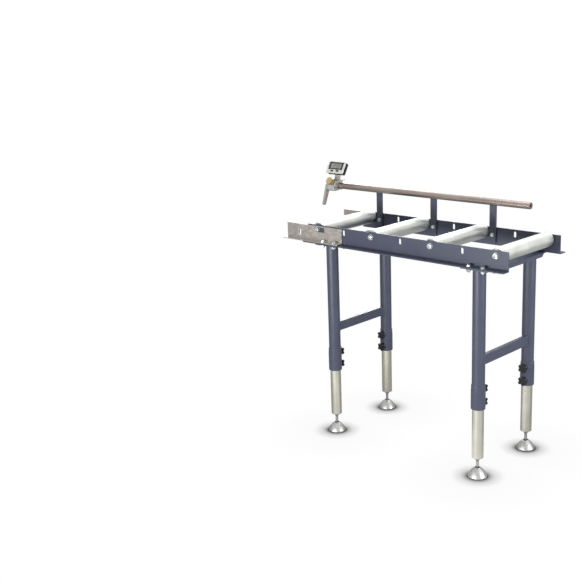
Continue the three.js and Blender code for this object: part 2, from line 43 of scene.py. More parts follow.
sideNames = ((-1, "front"), (1, "rear"))
frameXs = {"left": -275, "right": 465}  # middle of each leg frame
legY = 176
axlePitch = 890 / 3
axleXs = [-350 + axlePitch * i for i in range(4)]
axleZ = 900
postXs = [-302 + axlePitch * i for i in range(3)]
legs = []  # tag, label, place and turn
for side, row in sideNames:
    for hand, x in frameXs.items():
        turn = 0 if side < 0 else math.pi
        legs.append((f"{row}_{hand}", row.title() + hand.title(), x, side * legY, turn))


# ways of working, sizes in millimetres

def objectMode():
    bpy.ops.object.mode_set(mode="OBJECT")


def clearPick():
    if bpy.context.object and bpy.context.object.mode != "OBJECT":
        objectMode()
    bpy.ops.object.select_all(action="DESELECT")


def activate(piece):
    clearPick()
    piece.select_set(True)
    bpy.context.view_layer.objects.active = piece


def editAll(piece):  # edit mode, with everything selected
    activate(piece)
    bpy.ops.object.mode_set(mode="EDIT")
    bpy.ops.mesh.select_all(action="SELECT")


def metres(point):
    return Vector(point) * mm


def near(value, goal):
    return abs(value - goal) < 0.1


def applyPlace(piece):
    activate(piece)
    bpy.ops.object.transform_apply(location=True, rotation=True, scale=True)
    return piece


def movePiece(piece, place):
    piece.location = metres(place)
    return applyPlace(piece)


def turnPiece(piece, axis, angle, place=(0, 0, 0)):  # turned about the origin, then put in place
    piece.matrix_world = Matrix.Translation(metres(place)) @ Matrix.Rotation(math.radians(angle), 4, axis)
    return applyPlace(piece)


def addBlock(name, low, high):  # a cube stretched between two corners
    clearPick()
    bpy.ops.mesh.primitive_cube_add(size=1, location=(metres(low) + metres(high)) / 2)
    piece = bpy.context.object
    piece.name = name
    piece.scale = metres(high) - metres(low)
    return applyPlace(piece)


axisTurns = {"X": (0, math.pi / 2, 0), "Y": (-math.pi / 2, 0, 0), "Z": (0, 0, 0)}


# a ring, extruded and scaled along its [radius, height] profile; a hollow one closes on itself
def lathe(name, profile, sides, axis="Z", place=(0, 0, 0), hollow=False, twist=0):
    clearPick()
    if hollow:
        profile = profile + profile[:1]
    radius, height = profile[0]
    bpy.ops.mesh.primitive_circle_add(
        vertices=sides, radius=radius * mm, location=(0, 0, height * mm), rotation=(0, 0, twist),
        fill_type="NOTHING" if hollow else "NGON")
    piece = bpy.context.object
    piece.name = name
    editAll(applyPlace(piece))
    for (radiusA, heightA), (radiusB, heightB) in zip(profile, profile[1:]):
        rise = (0, 0, (heightB - heightA) * mm)
        bpy.ops.mesh.extrude_region_move(TRANSFORM_OT_translate={"value": rise})
        if radiusA != radiusB:
            grow = radiusB / radiusA
            bpy.ops.transform.resize(value=(grow, grow, 1), center_override=(0, 0, heightB * mm))
    bpy.ops.mesh.select_all(action="SELECT")
    if hollow:
        bpy.ops.mesh.remove_doubles(threshold=1e-6)
    bpy.ops.mesh.normals_make_consistent(inside=False)
    objectMode()
    piece.rotation_euler = axisTurns[axis]
    return movePiece(piece, place)


def addRod(name, radius, low, high, sides, axis="Z", place=(0, 0, 0), twist=0):
    return lathe(name, [(radius, low), (radius, high)], sides, axis, place, twist=twist)


def bothEnds(half):  # a profile after its mirror image
    return [(r, -h) for r, h in half] + [(r, h) for r, h in reversed(half)]


def arc(middle, radius, start, end, count):  # points of a round after its start, angles from straight down
    bends = [start + (end - start) * i / count for i in range(1, count + 1)]
    return [(middle[0] + radius * math.sin(b), middle[1] - radius * math.cos(b)) for b in bends]


def threadSteps(radius, start, end, pitch):  # crests and roots of a screw thread
    depth = 0.54 * pitch
    count = max(1, int(abs(end - start) / pitch))
    step = (end - start) / count
    steps = []
    for i in range(count):
        steps += [(radius - depth, start + i * step), (radius, start + (i + 0.5) * step)]
    return steps + [(radius - depth, end)]


def pick(piece, kind, test):  # edit mode, with what passes the test selected
    editAll(piece)
    bpy.ops.mesh.select_mode(type=kind)
    bpy.ops.mesh.select_all(action="DESELECT")
    work = bmesh.from_edit_mesh(piece.data)
    work.normal_update()
    if kind == "FACE":
        for face in work.faces:
            face.select_set(test(face.calc_center_median() / mm, face.normal))
    elif kind == "EDGE":
        for edge in work.edges:
            ends = [v.co / mm for v in edge.verts]
            edge.select_set(test((ends[0] + ends[1]) / 2, ends[1] - ends[0]))
    else:
        for vert in work.verts:
            vert.select_set(test(vert.co / mm))
    bmesh.update_edit_mesh(piece.data)


def bevel(piece, test, offset, segments=4):  # chosen edges rounded in edit mode
    pick(piece, "EDGE", test)
    bpy.ops.mesh.bevel(offset=offset * mm, segments=segments, affect="EDGES")
    objectMode()


def pushFaces(piece, test, shift):  # chosen faces extruded by a shift
    pick(piece, "FACE", test)
    bpy.ops.mesh.extrude_region_move(TRANSFORM_OT_translate={"value": metres(shift)})
    objectMode()


def shiftVerts(piece, test, shift):  # chosen corners moved
    pick(piece, "VERT", test)
    bpy.ops.transform.translate(value=metres(shift))
    objectMode()


def scaleVerts(piece, test, scale, z):  # chosen corners scaled about a height on the Z axis
    pick(piece, "VERT", test)
    bpy.ops.transform.resize(value=scale, center_override=(0, 0, z * mm))
    objectMode()


def slicePiece(piece, point, normal):
    editAll(piece)
    bpy.ops.mesh.bisect(plane_co=metres(point), plane_no=normal)
    objectMode()


def merge(pieces):
    activate(pieces[0])
    for piece in pieces[1:]:
        piece.select_set(True)
    if len(pieces) > 1:
        bpy.ops.object.join()
    return pieces[0]


def alter(piece, kind, **settings):  # a modifier, set and applied
    activate(piece)
    change = piece.modifiers.new("change", kind)
    for key, value in settings.items():
        setattr(change, key, value)
    bpy.ops.object.modifier_apply(modifier=change.name)
    return piece


def combine(piece, tools, operation="DIFFERENCE"):  # one boolean for all the tools
    tool = merge(tools)
    alter(piece, "BOOLEAN", operation=operation, solver="EXACT", use_self=True, object=tool)
    discard(tool)
    return piece


def soften(piece, width, segments=2):
    return alter(piece, "BEVEL", width=width * mm, segments=segments, limit_method="ANGLE",
                 angle_limit=math.radians(32))


def roughen(piece, strength, size):  # uneven surface of a weld
    cloud = bpy.data.textures.new(piece.name + "Cloud", "CLOUDS")
    cloud.noise_scale = size * mm
    return alter(piece, "DISPLACE", texture=cloud, texture_coords="LOCAL", strength=strength * mm)


def discard(*pieces):
    for piece in pieces:
        bpy.data.objects.remove(piece)


def settle(piece, finish, body, nodes=(), angle=32):  # finish, body and the nodes it stands for
    activate(piece)
    bpy.ops.object.shade_smooth_by_angle(angle=math.radians(angle))
    alter(piece, "WEIGHTED_NORMAL", keep_sharp=True)  # flat faces stay flat beside their rounded edges
    piece.data.materials.clear()
    piece.data.materials.append(finish)
    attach(piece, body)
    if nodes:
        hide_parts(*nodes)
    return piece


def copyPiece(piece, name, shift, turn=0):
    activate(piece)
    bpy.ops.object.duplicate()
    twin = bpy.context.object
    twin.name = name
    twin.data.name = name
    return turnPiece(twin, "Z", math.degrees(turn), shift)


def setCopy(piece, name, shift, turn, finish, body, nodes=(), angle=32):  # a copy, settled
    return settle(copyPiece(piece, name, shift, turn), finish, body, nodes, angle)


# materials; fine grain and tool lines are drawn coarser than real where they would not show

def colour(code):  # sRGB hex to linear
    parts = [int(code[i:i + 2], 16) / 255 for i in (1, 3, 5)]
    return [p / 12.92 if p <= 0.04045 else ((p + 0.055) / 1.055) ** 2.4 for p in parts] + [1.0]


def addNode(owner, kind, inputs={}, **settings):
    node = owner.node_tree.nodes.new("ShaderNode" + kind)
    for key, value in settings.items():
        setattr(node, key, value)
    for key, value in inputs.items():
        if isinstance(value, bpy.types.NodeSocket):
            join(owner, value, node.inputs[key])
        else:
            node.inputs[key].default_value = value
    return node


def join(owner, source, target):
    owner.node_tree.links.new(source, target)


def reckon(owner, operation, *values):
    return addNode(owner, "Math", dict(enumerate(values)), operation=operation).outputs["Value"]


def vectors(owner, operation, *values):
    return addNode(owner, "VectorMath", dict(enumerate(values)), operation=operation).outputs


def remap(owner, value, low, high, fromLow=0.0, fromHigh=1.0, **settings):
    inputs = {"Value": value, "From Min": fromLow, "From Max": fromHigh, "To Min": low, "To Max": high}
    return addNode(owner, "MapRange", inputs, **settings).outputs["Result"]


# a field is noise: size of its features in millimetres, detail and, if drawn out, the scale of x, y and z
# after a field's name come low and high of what it sets and, where they aren't 0 and 1, its own
def makeFinish(name, look):
    material = bpy.data.materials.new(name)
    material.use_nodes = True
    shader = material.node_tree.nodes["Principled BSDF"]
    place = addNode(material, "TexCoord").outputs["Object"]
    fields = {}
    for key, (size, detail, *drawn) in look["fields"].items():
        spot = place
        if drawn:
            spot = addNode(material, "Mapping", {"Vector": place, "Scale": drawn}).outputs["Vector"]
        noise = addNode(material, "TexNoise", {"Vector": spot, "Scale": 1 / (size * mm), "Detail": detail})
        fields[key] = noise.outputs["Fac"]
    if "spangle" in look:
        crystals = addNode(material, "TexVoronoi", {"Vector": place, "Scale": 1 / (look["spangle"] * mm)})
        parts = addNode(material, "SeparateColor", {"Color": crystals.outputs["Color"]}).outputs
        fields.update({"crystalTone": parts["Red"], "crystalShine": parts["Green"]})
    first, second, keys, *span = look["tint"]
    share, *others = [fields[key] for key in keys.split("*")]
    for other in others:
        share = reckon(material, "MULTIPLY", share, other)
    if span:
        share = remap(material, share, *span)
    tint = addNode(material, "Mix", {0: share, 6: colour(first), 7: colour(second)}, data_type="RGBA")
    join(material, tint.outputs[2], shader.inputs["Base Color"])
    if "rough" in look:
        key, *span = look["rough"]
        join(material, remap(material, fields[key], *span), shader.inputs["Roughness"])
    if "bump" in look:
        key, strength, depth = look["bump"]
        inputs = {"Height": fields[key], "Strength": strength, "Distance": depth * mm}
        join(material, addNode(material, "Bump", inputs).outputs["Normal"], shader.inputs["Normal"])
    for key, value in look.get("shader", {}).items():
        shader.inputs[key].default_value = value
    return material


metal = {"Metallic": 1.0}

# polyester powder coat on steel: soft gloss with a fine orange peel, slightly uneven in tone
powderCoat = makeFinish("powderCoatedSteel", {
    "fields": {"tone": (140, 4), "smear": (45, 6), "peel": (3.0, 2)}, "shader": {"IOR": 1.5},
    "tint": ("#454a5d", "#4f5468", "tone", 0.0, 0.28, 0.35, 0.75),
    "rough": ("smear", 0.3, 0.44, 0.3, 0.7), "bump": ("peel", 0.08, 0.3)})

# yellow-passivated zinc on drawn tube: warm grey with long streaks
zincTube = makeFinish("passivatedZincTube", {
    "fields": {"streak": (1.2, 5, 1, 1, 1.2 / 160), "cloud": (60, 3)},
    "tint": ("#c6c4b4", "#d8d7cb", "streak*cloud", 0.0, 1.0, 0.12, 0.4),
    "rough": ("streak", 0.29, 0.36), "bump": ("streak", 0.05, 0.2), "shader": metal})

# bright zinc on a welded roller tube: silvery, scuffed round by the stock that passes
rollerZinc = makeFinish("brightZincRoller", {
    "fields": {"streak": (1.2, 4, 1, 1.2 / 120, 1), "rings": (4.0, 6, 0.02, 1, 0.02), "patch": (70, 5)},
    "tint": ("#dadcd7", "#e6e9e4", "rings*patch", 0.0, 1.0, 0.15, 0.38),
    "rough": ("patch", 0.4, 0.46, 0.3, 0.7), "bump": ("streak", 0.02, 0.2), "shader": metal})

# polished and chromed steel: bright with faint smudges
chromedSteel = makeFinish("polishedChromeSteel", {
    "fields": {"smudge": (14, 6)}, "tint": ("#c2c4c6", "#dfe1e2", "smudge"),
    "rough": ("smudge", 0.09, 0.24, 0.3, 0.75), "shader": metal})

# satin zinc on pressed feet and spindles: soft grey shine, faintly brushed round
satinSteel = makeFinish("satinZincSteel", {
    "fields": {"brush": (0.8, 3, 0.05, 0.05, 1), "smudge": (16, 4)}, "tint": ("#a2a3a1", "#bcbdbb", "smudge"),
    "rough": ("smudge", 0.36, 0.46, 0.3, 0.7), "bump": ("brush", 0.05, 0.1), "shader": metal})

# zinc-plated bolts and nuts: bluish, unevenly bright
platedBolt = makeFinish("blueZincBolt", {
    "fields": {"grain": (5, 6)}, "tint": ("#b2b6ba", "#e4e6e8", "grain"), "rough": ("grain", 0.2, 0.4),
    "shader": metal})

# hot-dip galvanised sheet: spangle of crystals, warm grey, faintly rolled
galvanisedSheet = makeFinish("galvanisedSheet", {
    "spangle": 9, "fields": {"lines": (1.5, 4, 0.015, 1, 1)},
    "tint": ("#c1bbb5", "#a59f99", "crystalTone*lines"), "rough": ("crystalShine", 0.3, 0.48),
    "bump": ("lines", 0.06, 0.2), "shader": metal})

# centreless-ground steel bar: warm grey with rings round it
groundBar = makeFinish("groundSteelBar", {
    "fields": {"rings": (1.2, 3, 1, 0.03, 0.03), "stain": (90, 5)},
    "tint": ("#908480", "#a99c96", "rings*stain", 0.0, 1.0, 0.1, 0.42),
    "rough": ("rings", 0.28, 0.38), "bump": ("rings", 0.06, 0.15), "shader": metal})

# glass-filled nylon, moulded: black with a spark-eroded grain
blackNylon = makeFinish("mouldedBlackNylon", {
    "fields": {"patch": (20, 4), "grain": (1.1, 2)}, "tint": ("#0f1012", "#1a1b1e", "patch"),
    "rough": ("patch", 0.36, 0.55), "bump": ("grain", 0.18, 0.15),
    "shader": {"IOR": 1.53, "Specular IOR Level": 0.35}})

# clear anodised aluminium, milled: pale satin grey with tool lines
clearAnodised = makeFinish("clearAnodisedAluminium", {
    "fields": {"lines": (0.9, 3, 0.04, 1, 1), "patch": (30, 4)},
    "tint": ("#bcbec0", "#d6d7d8", "lines*patch", 0.0, 1.0, 0.12, 0.42),
    "rough": ("lines", 0.32, 0.46), "bump": ("lines", 0.06, 0.1), "shader": {"Metallic": 0.9}})

# ABS, moulded: warm white with a faint texture
whiteAbs = makeFinish("mouldedWhiteAbs", {
    "fields": {"patch": (25, 4), "grain": (0.9, 2)}, "tint": ("#e9e8e4", "#dcdad3", "patch"),
    "rough": ("grain", 0.36, 0.5), "bump": ("grain", 0.1, 0.1), "shader": {"IOR": 1.52}})

# liquid-crystal display behind a clear window: grey, glossy, faintly clouded
lcdPane = makeFinish("liquidCrystalPane", {
    "fields": {"cloud": (14.4, 3)}, "tint": ("#9b9d9b", "#8b8e8c", "cloud"), "rough": ("cloud", 0.08, 0.16),
    "shader": {"Coat Weight": 0.6}})

# printed black ink of the display: segments and surround
displayInk = makeFinish("printedDisplayInk", {
    "fields": {"patch": (4, 3)}, "tint": ("#14161a", "#1e2126", "patch"), "rough": ("patch", 0.25, 0.4)})

# brass, turned: pale yellow, unevenly tarnished
turnedBrass = makeFinish("turnedBrass", {
    "fields": {"patch": (12, 5)}, "tint": ("#a8935f", "#d8c79a", "patch"), "rough": ("patch", 0.2, 0.38),
    "shader": metal})
print("materials made")


# camera and studio

cameraSetup = {"place": (2508.93, -3221.75, 1727.57), "turn": (75.3045, 2.1560, 44.4176), "lens": 61.62,
               "sensor": 36, "far": 60}
clearPick()
turn = [math.radians(a) for a in cameraSetup["turn"]]
bpy.ops.object.camera_add(location=metres(cameraSetup["place"]), rotation=turn)
camera = bpy.context.object
camera.name = "photoCamera"
camera.data.lens = cameraSetup["lens"]
camera.data.sensor_width = cameraSetup["sensor"]
camera.data.clip_end = cameraSetup["far"]
bpy.context.scene.camera = camera
bpy.context.scene.view_settings.view_transform = "Standard"


def mirroredShare(owner, rays):  # 1 for what a surface mirrors or lets through
    return reckon(owner, "MAXIMUM", rays["Is Glossy Ray"], rays["Is Transmission Ray"])


def frontLevel(owner, direction, setup):  # dim all round, brighter towards the front
    facing = vectors(owner, "DOT_PRODUCT", direction, setup["front"])["Value"]
    facing = reckon(owner, "MAXIMUM", facing, 0.0)
    return reckon(owner, "MULTIPLY_ADD", facing, setup["lit"], setup["dim"])


# a plain floor for the light; the camera sees it almost white, with a painted contact shadow close to the
# feet, taken from ambient occlusion
paleFloor = makeFinish("paleStudioFloor", {
    "fields": {"drift": (900, 2)}, "tint": ("#9c9c9b", "#959594", "drift"), "shader": {"Roughness": 0.75}})
floorSetup = {"size": 40, "inside": 0.04, "outside": 0.4, "seenNear": 0.94, "seenFar": 1.0, "reach": 75,
              "depth": 8.0, "front": (0.43, -0.9, 0), "dim": 0.42, "lit": 0.58, "shadeSamples": 32}
frameMiddle = (frameXs["left"] + frameXs["right"]) / 2
clearPick()
bpy.ops.mesh.primitive_plane_add(size=floorSetup["size"], location=(0, 0, 0))
floor = bpy.context.object
floor.name = "studioFloor"
place = addNode(paleFloor, "TexCoord").outputs["Object"]
rays = addNode(paleFloor, "LightPath").outputs
mirrored = mirroredShare(paleFloor, rays)
centred = vectors(paleFloor, "SUBTRACT", place, metres((frameMiddle, 0, 0)))["Vector"]
folded = vectors(paleFloor, "ABSOLUTE", centred)["Vector"]
feet = metres((frameXs["right"] - frameMiddle, legY, 0))
away = vectors(paleFloor, "DISTANCE", folded, feet)["Value"]
seen = remap(paleFloor, away, floorSetup["seenNear"], floorSetup["seenFar"], floorSetup["inside"],
             floorSetup["outside"], interpolation_type="SMOOTHSTEP")
seen = reckon(paleFloor, "MULTIPLY", seen, rays["Is Camera Ray"])
share = reckon(paleFloor, "MAXIMUM", seen, mirrored)
# painted pool of light: to what metal mirrors, the floor glows brighter towards the front and dimmer behind
outward = vectors(paleFloor, "NORMALIZE", centred)["Vector"]
paintedReflectionPool = frontLevel(paleFloor, outward, floorSetup)
# painted contact shadow: ambient occlusion raised to a power darkens the floor's glow round the feet
paintedContactShadow = addNode(paleFloor, "AmbientOcclusion", {"Distance": floorSetup["reach"] * mm},
                 samples=floorSetup["shadeSamples"])
paintedContactShadow = reckon(paleFloor, "POWER", paintedContactShadow.outputs["AO"], floorSetup["depth"])
level = addNode(paleFloor, "Mix", {0: mirrored, 2: paintedContactShadow, 3: paintedReflectionPool})
glow = addNode(paleFloor, "Emission", {"Color": (1, 1, 1, 1), "Strength": level.outputs[0]})
floorNodes = paleFloor.node_tree.nodes
plain = floorNodes["Principled BSDF"].outputs["BSDF"]
floorMix = addNode(paleFloor, "MixShader", {0: share, 1: plain, 2: glow.outputs["Emission"]})
join(paleFloor, floorMix.outputs["Shader"], floorNodes["Material Output"].inputs["Surface"])
floor.data.materials.append(paleFloor)

# white for the camera; what metal mirrors is dimmer low down behind the stand; a low fill for the rest
worldSetup = {"fill": 0.12, "front": (0.43, -0.9, 0), "dim": 0.55, "lit": 0.45, "upper": 1.0, "low": 0.13,
              "high": 0.55}
world = bpy.data.worlds.new("studioWorld")
bpy.context.scene.world = world
world.use_nodes = True
rays = addNode(world, "LightPath").outputs
direction = addNode(world, "TexCoord").outputs["Generated"]
level = frontLevel(world, direction, worldSetup)
height = addNode(world, "SeparateXYZ", {"Vector": direction}).outputs["Z"]
rise = remap(world, height, 0.0, 1.0, worldSetup["low"], worldSetup["high"], interpolation_type="SMOOTHSTEP")
dome = addNode(world, "Mix", {0: rise, 2: level, 3: worldSetup["upper"]})
strength = addNode(world, "Mix", {0: mirroredShare(world, rays), 2: worldSetup["fill"], 3: dome.outputs[0]})
strength = addNode(world, "Mix", {0: rays["Is Camera Ray"], 2: strength.outputs[0], 3: 1.0})
background = world.node_tree.nodes["Background"]
background.inputs["Color"].default_value = (1, 1, 1, 1)
join(world, strength.outputs[0], background.inputs["Strength"])

lampSetup = {
    "keyLamp": {"place": (0.1, -3.0, 0.6), "aim": (0.1, 0, 0.65), "size": (1.8, 0.4), "power": 70},
    "topLamp": {"place": (0, 1.2, 5.2), "aim": (0.1, 0, 0.3), "size": (4.8, 4.8), "power": 180},
    "sideLamp": {"place": (3.6, 0.5, 1.3), "aim": (0.1, 0, 0.6), "size": (1.4, 1.4), "power": 92},
    "backLamp": {"place": (-3.2, 3.4, 1.9), "aim": (0.1, 0, 0.8), "size": (1.6, 1.6), "power": 60},
}
for name, setup in lampSetup.items():
    clearPick()
    aim = Vector(setup["aim"]) - Vector(setup["place"])
    turn = aim.to_track_quat("-Z", "Y").to_euler()
    bpy.ops.object.light_add(type="AREA", location=setup["place"], rotation=turn)
    lamp = bpy.context.object
    lamp.name = name
    lamp.data.shape = "RECTANGLE"
    lamp.data.size, lamp.data.size_y = setup["size"]
    lamp.data.energy = setup["power"]
print("camera, floor and lamps set")


# side rails, folded from sheet

rail = {"left": -405, "right": 595, "bottom": 845, "top": 920, "inner": 180, "wall": 4, "foot": 36, "bend": 2,
        "boltHole": 11, "slot": (12, 24), "postHole": 9, "postZ": 889, "edge": 0.6}
through = 8  # half the length of a cutter through sheet
outerWeb = rail["inner"] + rail["wall"]


def drill(width, place, twist=0):
    return addRod("cut", width / 2, -through, through, 32, "Y", place, twist)


def addSlot(size, place):  # a cylinder along Y with its two halves pulled apart in Z
    width, height = size
    cutter = drill(width, place, math.pi / 32)
    for way in (-1, 1):
        shiftVerts(cutter, lambda p: (p.z - place[2]) * way > 0, (0, 0, way * (height - width) / 2))
    return cutter


def foldSheet(name, kit, side):  # an upright strip with its foot pulled outwards and the bend rounded
    inside = side * kit["inner"]
    outside = inside + side * kit["wall"]
    corner = kit["bottom"] + kit["wall"]
    sheet = addBlock(name, (kit["left"], min(inside, outside), kit["bottom"]),
                     (kit["right"], max(inside, outside), kit["top"]))
    slicePiece(sheet, (0, 0, corner), (0, 0, 1))
    pushFaces(sheet, lambda c, n: n.y * side > 0.9 and c.z < corner, (0, side * kit["foot"], 0))
    for y, z, bend, steps in ((outside, corner, kit["bend"], 5),
                              (inside, kit["bottom"], kit["bend"] + kit["wall"], 8)):
        bevel(sheet, lambda m, d: abs(d.x) > 100 and near(m.y, y) and near(m.z, z), bend, steps)
    return sheet


for side, row in sideNames:
    sheet = foldSheet(row + "RailSheet", rail, side)
    middle = side * (rail["inner"] + rail["wall"] / 2)
    cutters = [drill(rail["boltHole"], (x, middle, axleZ)) for x in axleXs]
    cutters += [addSlot(rail["slot"], ((a + b) / 2, middle, axleZ)) for a, b in zip(axleXs, axleXs[1:])]
    if side > 0:
        cutters += [drill(rail["postHole"], (x, middle, rail["postZ"])) for x in postXs]
    combine(sheet, cutters)
    soften(sheet, rail["edge"])
    settle(sheet, powderCoat, "frame", [row + "_rail"])
print("rails made")


# nuts, bolt heads and washers, standing up from z = 0

def addHex(name, across, height, chamfer, bothFaces):  # a hexagon whose corners are turned off by a cone
    corner = across / math.sqrt(3)
    low, wide = corner - 2 * chamfer, corner + 0.5
    prism = addRod(name, corner, 0, height, 6)
    foot = [(low, -0.01), (wide, chamfer)] if bothFaces else [(wide, -0.01)]
    cone = lathe("cone", foot + [(wide, height - chamfer), (low, height + 0.01)], 48)
    return combine(prism, [cone], "INTERSECT")


def onWasher(piece, bore, radius, height):
    soften(piece, 0.25, 1)
    movePiece(piece, (0, 0, height))
    ring = [(bore, 0.2), (bore + 0.2, 0), (radius - 0.3, 0), (radius, 0.3), (radius, height - 0.3),
            (radius - 0.3, height), (bore + 0.2, height), (bore, height - 0.2)]
    return merge([piece, lathe("washer", ring, 40, hollow=True)])


def nutSet(name, kit):
    hole, height = kit["radius"], kit["nut"]
    nut = addHex(name, kit["across"], height, 0.07 * kit["across"], True)
    wide = hole + 0.8
    profile = [(wide, -1), (wide, 0.01), (hole, 0.8), (hole, height - 0.8), (wide, height - 0.01),
               (wide, height + 1)]
    combine(nut, [lathe("bore", profile, 24)])
    return onWasher(nut, hole + 0.3, kit["washer"], kit["washerHeight"])


def addBolt(name, kit):  # the head, and its nut with the bolt's end as a second piece
    top = addHex(name + "Head", kit["across"], kit["head"], 0.09 * kit["across"], False)
    onWasher(top, kit["radius"], kit["washer"], kit["washerHeight"])
    nut = nutSet(name + "Nut", kit)
    profile = [(kit["radius"] - 0.9, 0.2)] + threadSteps(kit["radius"] - 0.05, 0.6, kit["tail"] - 0.8, 1.4)
    tail = lathe(name + "Tail", profile + [(kit["radius"] - 1.4, kit["tail"])], 24)
    return top, merge([nut, tail])


# rollers, their bearings and axles

roller = {"radius": 30, "half": 175, "wall": 2.5, "round": 2.2, "capDrop": 1.2, "seat": 17.8, "sides": 72}
rim = roller["radius"] - roller["wall"]
end = roller["half"]
cap = end - roller["capDrop"]
shoulder = roller["radius"] - roller["round"]
profile = [(roller["seat"], cap - 0.8), (roller["seat"] + 0.8, cap), (rim - 3.2, cap), (rim - 1.6, cap + 0.9),
           (rim, cap + 0.5), (rim + 0.3, end - 0.2), (rim + 0.6, end), (shoulder, end)]
profile += arc((shoulder, end - roller["round"]), roller["round"], math.pi, math.pi / 2, 6)
rollerTube = lathe("rollerTube1", bothEnds(profile), roller["sides"], "Y", (0, 0, axleZ), hollow=True)

bearing = {"bore": 7.85, "inner": 10, "shield": 15, "outer": 17.5, "half": 5.5, "sink": 0.6, "sides": 48,
           "y": 169.2}
end = bearing["half"]
profile = [(bearing["bore"], end - 0.4), (bearing["bore"] + 0.4, end), (bearing["inner"], end),
           (bearing["inner"] + 0.1, end - bearing["sink"]), (bearing["shield"], end - bearing["sink"]),
           (bearing["shield"] + 0.1, end), (bearing["outer"] - 0.5, end), (bearing["outer"], end - 0.5)]
bearingRing = lathe("bearingRing", bothEnds(profile), bearing["sides"], "Y", (0, 0, axleZ), hollow=True)

axle = {"radius": 7.5, "shoulder": 10, "shoulderFoot": 175.3, "half": 179.7, "stud": 5, "studEnd": 199.7,
        "pitch": 1.5, "sides": 32}
stud, end = axle["stud"], axle["half"]
profile = [(stud - 1.2, axle["studEnd"])] + threadSteps(stud, axle["studEnd"] - 1, end + 3, axle["pitch"])
profile += [(stud, end + 2.5), (stud, end), (axle["shoulder"] - 0.6, end), (axle["shoulder"], end - 0.6),
            (axle["shoulder"], axle["shoulderFoot"]), (axle["radius"], axle["shoulderFoot"])]
axleShaft = lathe("axleShaft1", bothEnds(profile), axle["sides"], "Y", (0, 0, axleZ))

hexNut = {"across": 18, "nut": 8, "radius": axle["stud"], "washer": 12, "washerHeight": 1.8}
axleNut = turnPiece(nutSet("axleNut", hexNut), "X", 90)
for i, x in enumerate(axleXs):
    tag = str(i + 1)
    body = "turning_roller_" + tag
    setCopy(rollerTube, "rollerTube" + tag, (x, 0, 0), 0, rollerZinc, body, ["roller_" + tag])
    for side, row in sideNames:
        ring = setCopy(bearingRing, "bearingRing" + tag + row.title(), (x, side * bearing["y"], 0), 0,
                       chromedSteel, body, [f"bearing_{tag}_{row}"])
        ring.data.materials.append(blackNylon)  # its shields
        for face in ring.data.polygons:
            reach = math.hypot(face.center.x / mm - x, face.center.z / mm - axleZ)
            if bearing["inner"] + 0.05 < reach < bearing["shield"] and abs(face.normal.y) > 0.9:
                face.material_index = 1
        spot = (x, side * outerWeb, axleZ)
        turn = math.pi if side > 0 else 0
        setCopy(axleNut, "axleNut" + tag + row.title(), spot, turn, platedBolt, "frame")
    setCopy(axleShaft, "axleShaft" + tag, (x, 0, 0), 0, chromedSteel, "frame", ["axle_" + tag])
discard(rollerTube, bearingRing, axleShaft, axleNut)
print("rollers, bearings and axles made")


# leg frames: head channels, leg tubes with clamp sleeves, braces and welds

head = {"half": 60, "reach": 216, "bottom": 827.7, "top": 844.7, "wall": 4, "bend": 2, "notchStart": 163,
        "notchEnd": 180, "over": 44, "edge": 0.6}
under = head["top"] - head["wall"]
flange = head["half"] - head["wall"]
headChannel = addBlock("headChannel", (-head["half"], -head["reach"], under),
                       (head["half"], head["reach"], head["top"]))
for way in (-1, 1):
    slicePiece(headChannel, (way * flange, 0, 0), (1, 0, 0))
pushFaces(headChannel, lambda c, n: n.z < -0.9 and abs(c.x) > flange, (0, 0, head["bottom"] - under))
for x, z, bend, steps in ((head["half"], head["top"], head["bend"] + head["wall"], 6),
                          (flange, under, head["bend"], 4)):
    bevel(headChannel, lambda m, d: abs(d.y) > 100 and near(m.z, z) and near(abs(m.x), x), bend, steps)
wedges = []
for way in (-1, 1):
    ys = sorted((way * head["notchStart"], way * (head["reach"] + head["over"])))
    wide = head["half"] + head["over"]
    wedge = addBlock("wedge", (-wide, ys[0], head["bottom"] - 6), (wide, ys[1], under))
    shiftVerts(wedge, lambda p: abs(p.y) < head["reach"] and p.z > head["bottom"],
               (0, way * (head["notchEnd"] - head["notchStart"]), 0))
    wedges.append(wedge)
combine(headChannel, wedges)
soften(headChannel, head["edge"])
for hand, x in frameXs.items():
    setCopy(headChannel, hand + "HeadChannel", (x, 0, 0), 0, powderCoat, "frame", [hand + "_head_channel"])
discard(headChannel)

leg = {"bore": 23.5, "radius": 25.5, "sleeve": 28.5, "collar": 27.7, "bottom": 284, "sleeveTop": 384,
       "step": 366, "top": 840.4, "nutReach": 31.0, "nutLift": 0.6, "knobZs": (305, 360), "sides": 72,
       "bead": [(9.4, 26.2), (11.6, 26.6), (12.2, 27.6), (11.6, 28.9), (10.4, 29.6), (9.2, 29.2)]}
weldNut = {"across": 19, "nut": leg["nutReach"] - leg["radius"], "radius": 5.3, "washer": 11.2,
           "washerHeight": 0.6}
bore, sleeve, collar, low, rim = (leg[key] for key in ("bore", "sleeve", "collar", "bottom", "sleeveTop"))
profile = [(bore, low + 1), (bore + 0.8, low), (sleeve - 1.6, low), (sleeve - 0.5, low + 0.5),
           (sleeve, low + 1.6), (sleeve, leg["step"] - 0.6), (sleeve - 0.2, leg["step"]),
           (collar, leg["step"] + 0.5), (collar, rim - 2.4), (collar - 0.5, rim - 0.9),
           (collar - 1.5, rim - 0.2), (leg["radius"], rim), (leg["radius"], leg["top"]), (bore, leg["top"])]
legTube = lathe("legTube", profile, leg["sides"], hollow=True)
bosses = []
for z in leg["knobZs"]:
    bosses.append(turnPiece(nutSet("weldNut", weldNut), "X", -90, (0, leg["radius"] + leg["nutLift"], z)))
    bosses.append(roughen(lathe("bead", leg["bead"], 40, "Y", (0, 0, z), hollow=True), 0.5, 3))
merge([legTube] + bosses)

